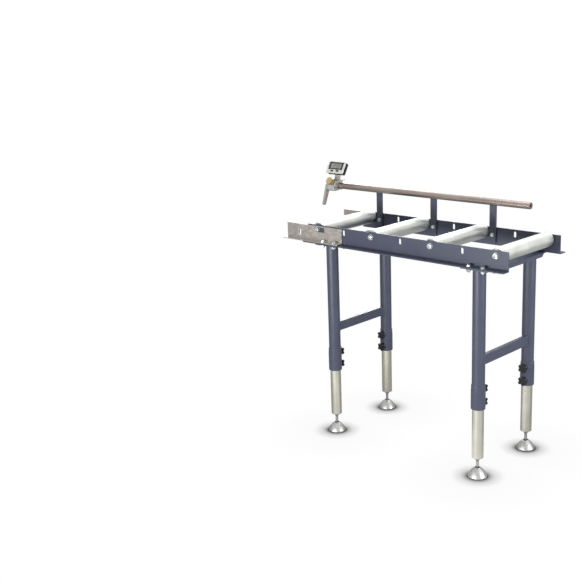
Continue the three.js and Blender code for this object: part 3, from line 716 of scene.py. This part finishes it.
weld = {"ring": 2.6, "out": 0.4, "drop": 0.8, "sides": (72, 10), "lump": 0.9, "grain": 4}
clearPick()
bpy.ops.mesh.primitive_torus_add(
    major_radius=(leg["radius"] + weld["out"]) * mm, minor_radius=weld["ring"] * mm,
    major_segments=weld["sides"][0], minor_segments=weld["sides"][1],
    location=(0, 0, (leg["top"] - weld["drop"]) * mm))
headWeld = bpy.context.object
headWeld.name = "headWeld"
applyPlace(headWeld)
scaleVerts(headWeld, lambda p: p.z > leg["top"] - 0.1, (1, 1, 0), leg["top"] + 0.1)
roughen(headWeld, weld["lump"], weld["grain"])
for tag, label, x, y, turn in legs:
    setCopy(legTube, "legTube" + label, (x, y, 0), turn, powderCoat, "frame", ["leg_tube_" + tag])
    setCopy(headWeld, "headWeld" + label, (x, y, 0), turn, powderCoat, "frame", angle=60)
discard(legTube, headWeld)

brace = {"width": 20, "height": 40, "z": 476, "round": 3, "copeRun": (400, 560), "edge": 0.3, "weldOut": 2.8,
         "weldRun": 6, "weldSink": 10, "weldRound": 3.5, "weldCell": 0.9}
half, tall = brace["width"] / 2, brace["height"] / 2
out, toe = brace["weldOut"], legY - leg["radius"] - brace["weldRun"]


def addCope(way, gap):  # the leg's outline, taken out of what meets it
    return addRod("cope", leg["radius"] + gap, *brace["copeRun"], 72, "Z", (0, way * legY, 0))


bar = addBlock("brace", (-half, -legY, brace["z"] - tall), (half, legY, brace["z"] + tall))
bevel(bar, lambda m, d: abs(d.y) > 100, brace["round"], 4)
combine(bar, [addCope(way, 0.3) for way in (-1, 1)])
welds = []
for way in (-1, 1):
    ys = sorted((way * (legY - brace["weldSink"]), way * toe))
    collar = addBlock("weld", (-half - out, ys[0], brace["z"] - tall - out),
                      (half + out, ys[1], brace["z"] + tall + out))
    bevel(collar, lambda m, d: abs(d.y) > 10, brace["weldRound"], 3)
    combine(collar, [addCope(way, 0.2)])
    scaleVerts(collar, lambda p: abs(p.y) < toe + 0.5,
               ((half + 0.2) / (half + out), 1, (tall + 0.2) / (tall + out)), brace["z"])
    alter(collar, "REMESH", mode="VOXEL", voxel_size=brace["weldCell"] * mm)
    welds.append(roughen(collar, weld["lump"], weld["grain"]))
braceWeld = merge(welds)
soften(bar, brace["edge"], 1)
for hand, x in frameXs.items():
    setCopy(bar, hand + "BraceTube", (x, 0, 0), 0, powderCoat, "frame", [hand + "_brace"])
    setCopy(braceWeld, hand + "BraceWeld", (x, 0, 0), 0, powderCoat, "frame", angle=70)
discard(bar, braceWeld)
print("leg frames made")


# telescopic inner legs, spindles, feet and clamp knobs

inner = {"radius": 23, "bore": 20.5, "bottom": 80, "top": 584, "chamfer": 1.4, "sides": 72}
bore, radius, low = inner["bore"], inner["radius"], inner["bottom"]
profile = [(bore, low + 0.6), (bore + 0.5, low), (radius - inner["chamfer"], low), (radius - 0.4, low + 0.4),
           (radius, low + inner["chamfer"]), (radius, inner["top"]), (bore, inner["top"])]
innerLeg = lathe("innerLeg", profile, inner["sides"], hollow=True)

# end of the inner leg
plug = {"tip": 68, "tipRadius": 8.2, "radius": 13.5, "hole": 6.3, "deep": 12, "sides": 60}
hole, tip, tipRadius, radius = plug["hole"], plug["tip"], plug["tipRadius"], plug["radius"]
profile = [(hole, tip + 0.8), (hole + 0.8, tip), (tipRadius - 0.6, tip), (tipRadius, tip + 0.7),
           (radius - 0.5, low - 1.2), (radius, low - 0.4), (bore - 0.1, low + 0.3),
           (bore - 0.1, low + plug["deep"]), (hole, low + plug["deep"])]
endPlug = lathe("endPlug", profile, plug["sides"], hollow=True)

spindle = {"radius": 6, "neck": 5.2, "ball": 10, "ballZ": 22, "neckTop": 42, "shankTop": 63, "top": 118,
           "pitch": 1.75, "sides": 40}
radius, neckTop = spindle["radius"], spindle["neckTop"]
ballEnd = math.pi - math.asin(spindle["neck"] / spindle["ball"])
profile = arc((0, spindle["ballZ"]), spindle["ball"], 0, ballEnd, 12)
profile += [(spindle["neck"], neckTop - 3), (radius - 0.6, neckTop), (radius, neckTop + 0.8),
            (radius, spindle["shankTop"])]
profile += threadSteps(radius, spindle["shankTop"] + 0.6, spindle["top"] - 1.4, spindle["pitch"])
spindleRod = lathe("spindleRod", profile + [(radius - 2, spindle["top"])], spindle["sides"])

foot = {"radius": 38, "rim": 4, "height": 38, "mouth": 9.2, "lip": 12, "bulge": 3, "socket": 10.6,
        "sides": 80, "steps": 20}
rimEdge, lipEdge = Vector((foot["radius"], foot["rim"])), Vector((foot["lip"], foot["height"]))
slope = lipEdge - rimEdge
bendPoint = (rimEdge + lipEdge) / 2 + 2 * foot["bulge"] * Vector((slope.y, -slope.x)).normalized()
profile = [(foot["radius"] - 1.8, 0), (foot["radius"] - 0.5, 0.5), (foot["radius"], 1.8), tuple(rimEdge)]
for i in range(1, foot["steps"] + 1):
    way = i / foot["steps"]
    profile.append(tuple((1 - way) ** 2 * rimEdge + 2 * way * (1 - way) * bendPoint + way ** 2 * lipEdge))
profile += [(foot["lip"] - 0.9, foot["height"] + 0.2), (foot["lip"] - 1.8, foot["height"] - 0.6)]
mouthAngle = math.pi - math.asin(foot["mouth"] / foot["socket"])
profile += arc((0, spindle["ballZ"]), foot["socket"], 0, mouthAngle, 8)[::-1]
domedFoot = lathe("domedFoot", profile, foot["sides"])


def addGrip(name, kit):  # a knob along Y with scoops round its rim
    grip = addRod(name, kit["radius"], kit["start"], kit["start"] + kit["thick"], 80, "Y")
    scoops = []
    for i in range(kit["lobes"]):
        bend = 2 * math.pi * (i + kit["phase"]) / kit["lobes"]
        spot = (kit["scoopAt"] * math.cos(bend), 0, kit["scoopAt"] * math.sin(bend))
        scoops.append(addRod("scoop", kit["scoop"], *kit["scoopRun"], kit["scoopSides"], "Y", spot))
    combine(grip, scoops)
    return soften(grip, kit["round"], kit["roundSteps"])


knob = {"radius": 19, "thick": 8.5, "start": 33, "lobes": 5, "phase": 0, "scoop": 8.4, "scoopAt": 22,
        "scoopRun": (30, 70), "scoopSides": 40, "round": 2.2, "roundSteps": 5, "dish": 9, "hub": 9,
        "hubStart": 32, "stud": 5, "tip": 23.4, "pitch": 1.5}
face, dish, hubStart = knob["start"] + knob["thick"], knob["dish"], knob["hubStart"]
starKnob = addGrip("starKnob", knob)
combine(starKnob, [lathe("dish", [(dish - 1.5, face - 1.6), (dish + 0.3, face + 0.3)], 48, "Y")])
profile = [(knob["hub"] - 0.4, hubStart), (knob["hub"], hubStart + 0.4),
           (knob["hub"] + 0.8, knob["start"] + 0.6)]
hub = lathe("hub", profile, 48, "Y")
cap = lathe("cap", [(dish - 2.6, face - 1.7), (dish - 2.6, face - 1.1), (dish - 4, face - 0.8)], 48, "Y")
merge([starKnob, hub, cap])
profile = threadSteps(knob["stud"], knob["tip"] + 1, hubStart + 0.5, knob["pitch"])
knobStud = lathe("knobStud", [(knob["stud"] - 1.4, knob["tip"])] + profile, 28, "Y")

for tag, label, x, y, turn in legs:
    spot = (x, y, 0)
    body = "sliding_leg_" + tag
    setCopy(innerLeg, "innerLeg" + label, spot, turn, zincTube, body, ["inner_leg_" + tag])
    setCopy(endPlug, "endPlug" + label, spot, turn, satinSteel, body)
    body = "screwed_spindle_" + tag
    setCopy(spindleRod, "spindleRod" + label, spot, turn, satinSteel, body, ["spindle_" + tag], 50)
    body = "tilting_foot_" + tag
    setCopy(domedFoot, "domedFoot" + label, spot, turn, satinSteel, body, ["foot_" + tag])
    for z, level in zip(leg["knobZs"], ("lower", "upper")):
        node = f"knob_{tag}_{level}"
        body, knobLabel = "turning_" + node, label + level.title()
        setCopy(starKnob, "starKnob" + knobLabel, (x, y, z), turn, blackNylon, body, [node])
        setCopy(knobStud, "knobStud" + knobLabel, (x, y, z), turn, platedBolt, body, angle=50)
discard(innerLeg, endPlug, spindleRod, domedFoot, starKnob, knobStud)
print("legs, feet and knobs made")


# bolts of the leg frames and posts

frameBolt = {"across": 16, "head": 6.4, "nut": 8, "radius": 5, "washer": 10, "washerHeight": 1.8, "tail": 14,
             "gap": 31, "y": 202}
postBolt = {"across": 13, "head": 5.4, "nut": 6.5, "radius": 4, "washer": 8, "washerHeight": 1.5, "tail": 11}
headBoltXs = [x + way * frameBolt["gap"] for x in frameXs.values() for way in (-1, 1)]
footTop = rail["bottom"] + rail["wall"]
plateTop = 853.3  # of the coupling plates' feet, at the left
headBoltTop, headBoltNut = addBolt("frameBolt", frameBolt)
turnPiece(headBoltNut, "X", 180)
for i, x in enumerate(headBoltXs):
    for side, row in sideNames:
        tag = row.title() + str(i + 1)
        y = side * frameBolt["y"]
        seat = plateTop if x < 0 else footTop
        setCopy(headBoltTop, "frameBoltHead" + tag, (x, y, seat), 0.4 * i + side, platedBolt, "frame")
        setCopy(headBoltNut, "frameBoltNut" + tag, (x, y, under), 0.7 * i - side, platedBolt, "frame")
postBoltTop, postBoltNut = addBolt("postBolt", postBolt)
turnPiece(postBoltTop, "X", 90)
turnPiece(postBoltNut, "X", -90)


# posts and round bar of the measuring stop

post = {"half": 15, "y": 175.7, "thick": 8, "bottom": 852, "top": 1017, "corner": 5, "edge": 0.7}
stopBar = {"radius": 14, "z": 1024, "left": -595, "right": 465, "bore": 5.5, "chamfer": 2, "depth": 25,
           "sides": 72}
front, back = post["y"] - post["thick"] / 2, post["y"] + post["thick"] / 2
plate = addBlock("post", (-post["half"], front, post["bottom"]), (post["half"], back, post["top"]))
bevel(plate, lambda m, d: abs(d.y) > 5 and m.z < post["bottom"] + 1, post["corner"], 6)
combine(plate, [addRod("hollow", stopBar["radius"] + 0.3, -40, 40, 72, "X", (0, post["y"], stopBar["z"]))])
soften(plate, post["edge"])
for i, x in enumerate(postXs):
    tag = str(i + 1)
    setCopy(plate, "stopPost" + tag, (x, 0, 0), 0, powderCoat, "frame", ["stop_post_" + tag])
    setCopy(postBoltTop, "postBoltHead" + tag, (x, front, rail["postZ"]), 0, platedBolt, "frame")
    setCopy(postBoltNut, "postBoltNut" + tag, (x, outerWeb, rail["postZ"]), 0, platedBolt, "frame")
discard(plate, headBoltTop, headBoltNut, postBoltTop, postBoltNut)

barEnd = [(stopBar["bore"], stopBar["depth"]), (stopBar["bore"], 1), (stopBar["bore"] + 1, 0),
          (stopBar["radius"] - stopBar["chamfer"], 0), (stopBar["radius"], stopBar["chamfer"])]
profile = [(r, stopBar["left"] + h) for r, h in barEnd]
profile += [(r, stopBar["right"] - h) for r, h in reversed(barEnd)]
roundBar = lathe("stopRoundBar", profile, stopBar["sides"], "X", (0, post["y"], stopBar["z"]))
settle(roundBar, groundBar, "frame", ["stop_bar"])
print("posts and stop bar made")


# stop carriage with its arm and clamp knob

carriage = {"x": -560, "half": 20, "front": 40, "back": 22, "top": 25, "bottom": 21, "corner": 7,
            "bore": 14.5, "mouth": 14, "over": 60, "edge": 0.8, "clampFace": 36, "clampTilt": -30,
            "pinY": -30, "pinRadius": 5, "pinEnd": 34.3}
centre = (carriage["x"], post["y"], stopBar["z"])
pinSpot = (centre[0], centre[1] + carriage["pinY"], centre[2])
over, clampFace = carriage["over"], carriage["clampFace"]
slide = addBlock("stopSlide", (-carriage["half"], -carriage["front"], -carriage["bottom"]),
                 (carriage["half"], carriage["back"], carriage["top"]))
bevel(slide, lambda m, d: abs(d.x) > 20, carriage["corner"], 6)
combine(slide, [addRod("tunnel", carriage["bore"], -over, over, 72, "X")])
combine(slide, [addBlock("gate", (-over, -carriage["mouth"] / 2, -over), (over, carriage["mouth"] / 2, 0))])
slant = addBlock("slant", (-over, -clampFace - 40, -40), (over, -clampFace, 40))
combine(slide, [turnPiece(slant, "X", carriage["clampTilt"])])
soften(slide, carriage["edge"], 3)
settle(movePiece(slide, centre), clearAnodised, "sliding_stop", ["stop_carriage"])

radius, end = carriage["pinRadius"], carriage["pinEnd"]
profile = [(radius, carriage["half"] - 4), (radius, end - 2.8), (radius - 0.8, end - 2.7),
           (radius - 0.8, end - 1.7), (radius, end - 1.6), (radius, end - 0.6), (radius - 0.6, end)]
pin = lathe("armPin", profile, 40, "X")
profile = [(radius - 0.7, end - 2.6), (radius + 3, end - 2.6), (radius + 3, end - 1.8),
           (radius - 0.7, end - 1.8)]
clip = lathe("armClip", profile, 40, "X", hollow=True)
combine(clip, [addBlock("gap", (end - 4, -2.4, 2), (end, 2.4, 12))])
for piece in (pin, clip):
    settle(turnPiece(piece, "Z", 180, pinSpot), platedBolt, "sliding_stop")

arm = {"hub": 12, "tip": 8, "reach": 82, "lean": 20, "thick": 10, "bore": 5.3, "edge": 1.0, "x": -585.3}
lean, half = math.radians(arm["lean"]), arm["thick"] / 2
tipSpot = (0, -arm["reach"] * math.sin(lean), -arm["reach"] * math.cos(lean))
swing = addRod("stopArm", arm["hub"], -half, half, 64, "X")
merge([swing, addRod("tip", arm["tip"], -half, half, 64, "X", tipSpot)])
editAll(swing)
bpy.ops.mesh.convex_hull()
objectMode()
combine(swing, [addRod("eye", arm["bore"], -20, 20, 48, "X")])
soften(swing, arm["edge"], 3)
settle(movePiece(swing, (arm["x"], *pinSpot[1:])), galvanisedSheet, "swinging_arm", ["stop_arm"])

clamp = {"radius": 17, "thick": 16, "start": 42, "lobes": 10, "phase": 0.5, "scoop": 3.4, "scoopAt": 18.9,
         "scoopRun": (30, 80), "scoopSides": 24, "round": 1.4, "roundSteps": 4, "dish": (9, 11.5), "hub": 7.5,
         "hubStart": 36.4, "stud": 4, "tip": 14.6, "pitch": 1.25}
face, hub, hubStart = clamp["start"] + clamp["thick"], clamp["hub"], clamp["hubStart"]


def tiltClamp(piece):
    return turnPiece(turnPiece(piece, "Z", 180), "X", carriage["clampTilt"], centre)


grip = addGrip("clampKnob", clamp)
combine(grip, [lathe("dish", [(clamp["dish"][0], face - 1.2), (clamp["dish"][1], face + 0.3)], 48, "Y")])
profile = [(hub - 0.6, hubStart), (hub, hubStart + 0.6), (hub, clamp["start"] - 1),
           (hub + 1, clamp["start"] + 0.4)]
neck = lathe("hub", profile, 40, "Y")
settle(tiltClamp(merge([grip, neck])), turnedBrass, "turning_clamp_knob", ["stop_clamp_knob"])
profile = threadSteps(clamp["stud"], clamp["tip"] + 0.8, clamp["start"] - 5, clamp["pitch"])
screw = lathe("clampStud", [(clamp["stud"] - 0.9, clamp["tip"])] + profile, 24, "Y")
settle(tiltClamp(screw), platedBolt, "turning_clamp_knob", angle=50)
print("stop carriage made")


# readout: case, bracket, panel, display and buttons, modelled upright and then tilted

readout = {"place": (-535, 145.7, 1113), "tilt": -30, "half": (49, 28), "corner": 5, "panel": 8,
           "case": (8.3, 26.3), "window": (84, 36), "windowZ": 7, "sink": 1.5, "glass": 6,
           "buttonXs": (-16, 16), "buttonZ": -17.5, "button": (16, 6.5), "proud": 1.8, "buttonDepth": 8.6,
           "over": (-10, 20)}
wide, high = readout["half"]
caseFront, caseBack = readout["case"]
windowWide, windowHigh = readout["window"]
windowZ, sink = readout["windowZ"], readout["sink"]


# a block with its four corners rounded
def addPad(name, width, height, low, deep, corner, x=0, z=0, segments=6):
    pad = addBlock(name, (x - width / 2, low, z - height / 2), (x + width / 2, deep, z + height / 2))
    bevel(pad, lambda m, d: abs(d.y) > 0.5 * (deep - low), corner, segments)
    return pad


def tiltUp(piece):
    return turnPiece(piece, "X", readout["tilt"], readout["place"])


front = addPad("readoutFront", 2 * wide, 2 * high, 0, readout["panel"], readout["corner"], segments=8)
cutters = [addPad("cut", *readout["window"], *readout["over"], 2, 0, windowZ)]
for x in readout["buttonXs"]:
    cutters.append(addPad("cut", *readout["button"], *readout["over"], 2, x, readout["buttonZ"]))
combine(front, cutters)
soften(front, 0.9, 3)
settle(tiltUp(front), whiteAbs, "sliding_stop", ["readout_panel"])

shell = addPad("readoutShell", 2 * wide, 2 * high, *readout["case"], readout["corner"], segments=8)
bevel(shell, lambda m, d: m.y > caseBack - 0.1, 3, 4)
ribs = [addPad("rib", 1.6, 26, caseFront + 3, caseBack - 5, 0.7, way * wide, 0, 2) for way in (-1, 1)]
ribs += [addPad("rib", 60, 1.4, caseBack - 1, caseBack + 0.8, 0.6, 0, z, 2) for z in (-18, 18)]
settle(tiltUp(merge([shell] + ribs)), blackNylon, "sliding_stop", ["readout_case"])

glass = addPad("displayGlass", windowWide - 0.6, windowHigh - 0.6, sink, sink + readout["glass"], 1.8,
               z=windowZ)
soften(glass, 0.3, 2)
settle(tiltUp(glass), lcdPane, "sliding_stop", ["readout_display"])
surround = addPad("displaySurround", windowWide - 1, windowHigh - 1, sink - 0.35, sink + 0.4, 1.6, 0, windowZ)
combine(surround, [addPad("cut", windowWide - 22, windowHigh - 13, -4, 8, 1, 0, windowZ)])
settle(tiltUp(surround), displayInk, "sliding_stop")

digits = {"shown": "1250.0", "height": 13, "width": 6.6, "line": 1.4, "pitch": 10.5, "left": -21,
          "proud": 0.12, "thick": 0.4}
segments = {"0": "abcdef", "1": "bc", "2": "abged", "5": "afgcd", ".": "."}
thin, tall, reach = digits["line"], digits["height"] / 2, digits["width"] / 2
flat, upright = (digits["width"] - 1.1 * thin, thin), (thin, tall - 1.1 * thin)
bars = {"a": (0, tall, *flat), "g": (0, 0, *flat), "d": (0, -tall, *flat),
        "f": (-reach, tall / 2, *upright), "b": (reach, tall / 2, *upright),
        "e": (-reach, -tall / 2, *upright), "c": (reach, -tall / 2, *upright),
        ".": (-digits["pitch"] / 2, -tall, 1.6 * thin, 1.6 * thin)}
low = sink - digits["proud"]
marks = []
x = digits["left"]
for sign in digits["shown"]:
    for key in segments[sign]:
        dx, dz, width, height = bars[key]
        marks.append(addPad("segment", width, height, low, low + digits["thick"], 0.3 * thin, x + dx,
                            windowZ + dz, 2))
    x += 0 if sign == "." else digits["pitch"]
digitRow = merge(marks)
digitRow.name = "displayDigits"
settle(tiltUp(digitRow), displayInk, "sliding_stop")

for i, x in enumerate(readout["buttonXs"]):
    tag = str(i + 1)
    width, height = readout["button"]
    key = addPad("readoutKey" + tag, width - 0.6, height - 0.6, -readout["proud"],
                 readout["buttonDepth"] - readout["proud"], 2, x, readout["buttonZ"])
    pick(key, "FACE", lambda c, n: n.y < -0.9)
    bpy.ops.mesh.inset(thickness=1.0 * mm, depth=-0.35 * mm)
    objectMode()
    soften(key, 0.35, 2)
    settle(tiltUp(key), blackNylon, "pressed_button_" + tag, ["readout_button_" + tag])

bracket = {"half": 17, "thick": 6, "y": 160.42, "bottom": 1049.3, "top": 1104.5, "foot": 30, "edge": 0.8}
mastX = readout["place"][0]
front, back = bracket["y"] - bracket["thick"] / 2, bracket["y"] + bracket["thick"] / 2
footTop = bracket["bottom"] + bracket["thick"]
mast = addBlock("readoutBracket", (mastX - bracket["half"], front, bracket["bottom"]),
                (mastX + bracket["half"], back, bracket["top"]))
slicePiece(mast, (0, 0, footTop), (0, 0, 1))
pushFaces(mast, lambda c, n: n.y > 0.9 and c.z < footTop, (0, bracket["foot"] - bracket["thick"], 0))
pushFaces(mast, lambda c, n: n.x < -0.9 and c.z < footTop, (centre[0] - mastX, 0, 0))
bevel(mast, lambda m, d: abs(d.x) > 20 and near(m.z, footTop) and near(m.y, back), 2, 4)
bevel(mast, lambda m, d: abs(d.x) > 20 and near(m.z, bracket["bottom"]) and m.y < bracket["y"], 4, 6)
soften(mast, bracket["edge"], 2)
settle(mast, clearAnodised, "sliding_stop", ["readout_case"])

capScrew = {"radius": 4.2, "height": 5, "socket": 2.4, "depth": 2.6, "bracketXs": (-9, 9), "bracketY": 16,
            "caseX": 40, "caseZ": 20, "caseSink": 3.2}
radius, height = capScrew["radius"], capScrew["height"]
screwHead = lathe("capScrew", [(radius, 0), (radius, height - 0.6), (radius - 0.6, height)], 40)
combine(screwHead, [addRod("socket", capScrew["socket"], height - capScrew["depth"], height + 1, 6)])
soften(screwHead, 0.2, 1)
for i, dx in enumerate(capScrew["bracketXs"]):
    spot = (centre[0] + dx, bracket["y"] + capScrew["bracketY"], footTop)
    setCopy(screwHead, "bracketScrew" + str(i + 1), spot, 0.5 * i, platedBolt, "sliding_stop")
turnPiece(screwHead, "X", -90, (0, caseBack - capScrew["caseSink"], 0))
for i, (wayX, wayZ) in enumerate(((-1, -1), (1, -1), (-1, 1), (1, 1))):
    spot = (wayX * capScrew["caseX"], 0, wayZ * capScrew["caseZ"])
    settle(tiltUp(copyPiece(screwHead, "caseScrew" + str(i + 1), spot)), platedBolt, "sliding_stop")
discard(screwHead)
print("readout made")


# coupling plates of bare galvanised sheet

coupling = {"left": -525, "right": -211, "inner": 184.3, "wall": 4, "foot": 30, "bottom": 849.3, "top": 915.3,
            "bend": 2, "slot": (10, 26), "slotPlace": (-449, 880), "window": (56, 20),
            "windowPlace": (-335, 900), "windowRound": 2.5, "edge": 0.5}
slotX, slotZ = coupling["slotPlace"]
for side, row in sideNames:
    sheet = foldSheet(row + "CouplingSheet", coupling, side)
    middle = side * (coupling["inner"] + coupling["wall"] / 2)
    window = addPad("cut", *coupling["window"], middle - through, middle + through, coupling["windowRound"],
                    *coupling["windowPlace"])
    combine(sheet, [addSlot(coupling["slot"], (slotX, middle, slotZ)), window])
    soften(sheet, coupling["edge"])
    settle(sheet, galvanisedSheet, "frame", [row + "_coupling_plate"])
print("coupling plates made")
